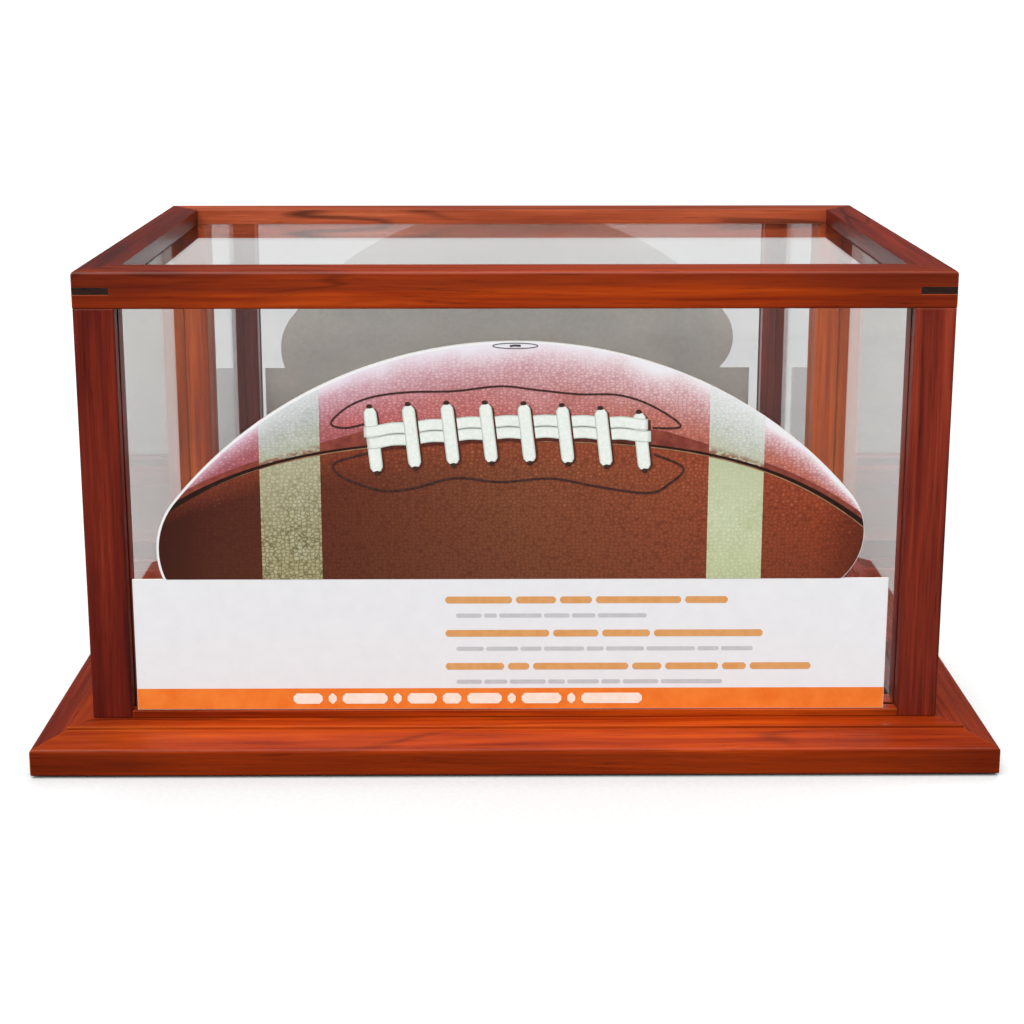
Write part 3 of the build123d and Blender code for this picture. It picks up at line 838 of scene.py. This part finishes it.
def build_laces():
    """Two long strands over the seam, eight crosses, their holes and the stitched outlines."""
    thread = inked("stitch_print", "301b18", "553630", 700)
    hole = inked("hole_print", "2a1a14", "4d3a2e", 900)
    shadow = inked("lace_shadow_print", "4a1c14", "6b3022", 500)
    lace = lace_paint()
    inner = ball_upper_paint("lace_panel_print", "c9676c", "a2505a", 0.74)
    upper_line = smooth_line(UPPER_STITCH)
    patch("card_lace_panel", upper_line, 3.2, inner, fade)
    ribbon("card_stitch_upper", upper_line, 0.72 * MM, 6, thread)
    ribbon("card_stitch_lower", smooth_line(LOWER_STITCH), 0.8 * MM, 6, thread)

    left = LACE_FIRST - 2.6 * MM
    right = LACE_FIRST + (LACES - 1) * LACE_STEP + 3.0 * MM

    def strand(level, shift):
        """A long strand that follows the ball's curve, and is pressed down a little at each cross."""
        line = []
        for x in spread(left + shift, right + shift, 90):
            dip = STRAND_DIP * math.cos(2 * math.pi * (x - LACE_FIRST) / LACE_STEP)
            line.append((x, level + 0.02 * x - STRAND_BEND * x * x - dip))
        return line

    ribbon("card_lace_shadow", strand(128.0 * MM, 0.3 * MM), 9.6 * MM, 7, shadow)
    ribbon("card_lace_high", strand(131.1 * MM, -0.8 * MM), STRAND_WIDTH, 10, lace)
    ribbon("card_lace_low", strand(126.6 * MM, 0.4 * MM), STRAND_WIDTH, 9.5, lace)

    def rounded(t):
        """A cross lace's width, drawn in at both ends."""
        end = min(t, 1 - t)
        return LACE_WIDTH * (1 - 0.4 * max(1 - end / 0.09, 0.0) ** 2)

    for i in range(LACES):
        x = LACE_FIRST + i * LACE_STEP
        bend = x * x / MM
        top = 137.3 * MM - 0.028 * x - 0.001 * bend
        low = 115.8 * MM - 0.0014 * bend
        line = [(x + LACE_SLANT * (0.5 - t), low + (top - low) * t) for t in spread(0, 1, 16)]
        outermost = i in (0, LACES - 1)
        level = 8 if outermost else 11
        cast = [(px + 0.7 * MM, pz - 0.3 * MM) for px, pz in line]
        ribbon(f"card_lace_cross_shadow_{i}", cast, rounded, level, shadow)
        ribbon(f"card_lace_cross_{i}", line, rounded, level + 0.5, lace)
        for tag, (px, pz), out in (("low", line[0], -0.5), ("top", line[-1], 0.7)):
            spot = oval(px, pz + out * MM, 1.1 * MM, 0.8 * MM, 16)
            patch(f"card_lace_hole_{tag}_{i}", spot, level + 1, hole)


def build_panel():
    """The white panel, its orange band, and plain bars where a label has lines of words."""
    white = inked("panel_print", "ebebee", "f0f0f2", 160)
    orange = inked("band_print", "ee7420", "f98a34", 120)
    words = inked("orange_words_print", "dd9a58", "e6aa6e")
    small = inked("grey_words_print", "c2c2c6", "d0d0d3")
    pale = inked("pale_words_print", "fbe3cf", "fff4ea")
    margin = 0.15 * MM
    left, right = CARD_LOW.x + margin, CARD_HIGH.x - margin
    band = CARD_LOW.z + 8.4 * MM
    printed("card_panel", [(x, band, PANEL_TOP) for x in spread(left, right, 20)], 1, white)
    printed("card_band", [(x, CARD_LOW.z + margin, band) for x in spread(left, right, 20)], 1, orange)

    whole = [(x, ball_low(x, margin), ball_top(x, margin)) for x in ball_columns(margin, margin)]
    printed("card_ball_rim", whole, 1, inked("rim_print", "f1f0f1", "fbfafb"))

    def bars(name, x, z, lengths, height, material):
        """A line of words as plain rounded bars."""
        for i, length in enumerate(lengths):
            ends = height * 0.3
            columns = [
                (x, z + ends, z + height - ends), (x + ends, z, z + height),
                (x + length - ends, z, z + height), (x + length, z + ends, z + height - ends),
            ]
            printed(f"{name}_{i}", columns, 2, material)
            x += length + height * 0.55

    bold, fine = 2.7 * MM, 1.6 * MM
    start = -26.2 * MM
    for i, (lengths, under) in enumerate((
        ((25, 15, 12, 32, 16), (12, 6, 20, 12, 11, 23)),
        ((39, 17, 18, 41), (13, 15, 10, 19, 8, 18, 23, 10, 15)),
        ((22, 8, 36, 11, 20, 9, 23), (12, 11, 17, 8, 15, 9, 17, 29)),
    )):
        z = PANEL_TOP - (9.6 + 13.2 * i) * MM
        bars(f"card_words_{i}", start, z, [v * MM for v in lengths], bold, words)
        line = [v * MM * 0.8 for v in under]
        bars(f"card_small_words_{i}", start + 4 * MM, z - 5.6 * MM, line, fine, small)
    sizes = [v * MM for v in (11, 3, 17, 3, 11, 7, 13, 3, 15, 3, 23)]
    bars("card_band_words", -84 * MM, CARD_LOW.z + 2.2 * MM, sizes, 4.2 * MM, pale)


# ---------------------------------------------------------------- studio

# Brightness of the paper and of the room, in this order: as diffuse light, in soft reflections,
# through glass or in a mirror, and in plain view. Only the studio uses it, and never the object.
PAPER_LEVELS = (0.2, 0.06, 0.46, 0.66)
ROOM_LEVELS = (0.4, 0.1, 0.86, 1.0)
PAPER_REACH = 60.0


def studio_level(p, lighting, glossy, through, seen):
    """A brightness that depends on the kind of ray."""
    path = p.add("ShaderNodeLightPath")
    level = p.span(path.outputs["Is Glossy Ray"], 0, 1, lighting, glossy)
    clear = p.math("MAXIMUM", path.outputs["Is Singular Ray"], path.outputs["Is Transmission Ray"])
    level = p.math("MAXIMUM", level, p.math("MULTIPLY", clear, through))
    return p.math("MAXIMUM", level, p.math("MULTIPLY", path.outputs["Is Camera Ray"], seen))


def studio():
    """White paper in a white room, under a very wide sun in front and a weaker one behind."""
    floor_mesh = bpy.data.meshes.new("studio_floor")
    reach = PAPER_REACH
    corners = [(-reach, -reach, 0), (reach, -reach, 0), (reach, reach, 0), (-reach, reach, 0)]
    floor_mesh.from_pydata(corners, [], [(0, 1, 2, 3)])
    floor = bpy.data.objects.new("studio_floor", floor_mesh)
    bpy.context.scene.collection.objects.link(floor)
    p = Paint("studio_paper")
    tooth = p.noise(p.object(), 500, 3.0)
    white = p.ramp(tooth, ((0.3, "f6f6f6"), (0.7, "fcfcfc")))
    level = studio_level(p, *PAPER_LEVELS)
    floor_mesh.materials.append(p.finish(p.mix(level, linear("000000"), white), 0.9, Specular_IOR_Level=0.0))

    world = bpy.data.worlds.new("studio_air")
    world.use_nodes = True
    air = Paint.on(world.node_tree)
    level = studio_level(air, *ROOM_LEVELS)
    sky = air.add("ShaderNodeBackground", {"Color": (1.0, 1.0, 1.0, 1.0), "Strength": level})
    out = air.add("ShaderNodeOutputWorld")
    air.plug(out.inputs["Surface"], sky.outputs[0])
    bpy.context.scene.world = world

    def sun(name, strength, place, softness, gloss=True):
        light = bpy.data.lights.new(name, "SUN")
        light.energy = strength
        light.angle = math.radians(softness)
        lamp = bpy.data.objects.new(name, light)
        lamp.location = place
        lamp.rotation_mode = "QUATERNION"
        lamp.rotation_quaternion = (-Vector(place)).to_track_quat("-Z", "Y")
        lamp.visible_glossy = gloss
        bpy.context.scene.collection.objects.link(lamp)

    sun("key", 3.9, (-0.4, -1.2, 2.0), 60)
    sun("back_light", 1.5, (0.3, 1.0, 2.0), 60, gloss=False)
    bpy.context.scene.view_settings.view_transform = "Standard"


CAMERA_LENS = 59.75
CAMERA_SHIFT = -0.17
CAMERA_SIDE = -5 * MM
CAMERA_DISTANCE = 604 * MM  # in front of the cover
CAMERA_HEIGHT = 285 * MM
CAMERA_PITCH = 90 - 11.48   # degrees; 90 looks level
CAMERA_YAW = -0.36


def camera():
    """The viewpoint: above and in front, looking slightly down."""
    cover_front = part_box("post_front_left")[0].y
    data = bpy.data.cameras.new("view")
    data.sensor_width = 36.0
    data.lens = CAMERA_LENS
    data.shift_y = CAMERA_SHIFT
    data.clip_start = 0.01
    data.clip_end = 200.0
    cam = bpy.data.objects.new("view", data)
    cam.location = (CAMERA_SIDE, cover_front - CAMERA_DISTANCE, CAMERA_HEIGHT)
    cam.rotation_euler = (math.radians(CAMERA_PITCH), 0, math.radians(CAMERA_YAW))
    bpy.context.scene.collection.objects.link(cam)
    bpy.context.scene.camera = cam


dress_cad()
build_panel()
build_ball()
build_valve()
build_laces()
studio()
camera()
